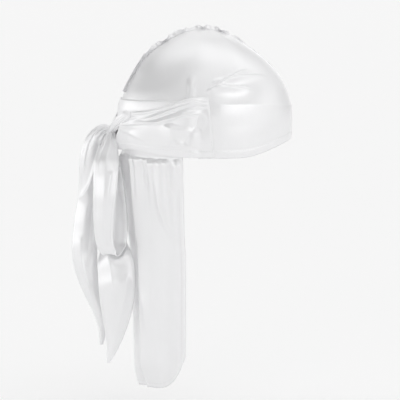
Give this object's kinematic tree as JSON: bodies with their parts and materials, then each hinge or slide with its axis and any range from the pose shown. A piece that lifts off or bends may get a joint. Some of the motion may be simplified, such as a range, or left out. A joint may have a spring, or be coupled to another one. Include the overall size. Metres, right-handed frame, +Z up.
{
  "type": "durag",
  "caption": "White satin durag in its worn form: two-panel crown, ruffled centre seam, straps pulled round and tied at the back, long cape.",
  "frame": {"origin": "middle of the head opening, at the level of the crown's side edges", "axes": "+X towards the front, +Y towards the wearer's left, +Z up through the crown"},
  "size_m": [0.2537, 0.165, 0.4108],
  "materials": {
    "satin": "smooth white satin with a soft silky sheen"
  },
  "bodies": {
    "root": {"crown_panel_right": "satin", "crown_panel_left": "satin", "centre_seam": "satin", "strap_right": "satin", "strap_left": "satin", "cape": "satin", "knot": "satin", "tie_loop": "satin", "tie_end_outer": "satin", "tie_end_inner": "satin"}
  },
  "joints": []
}
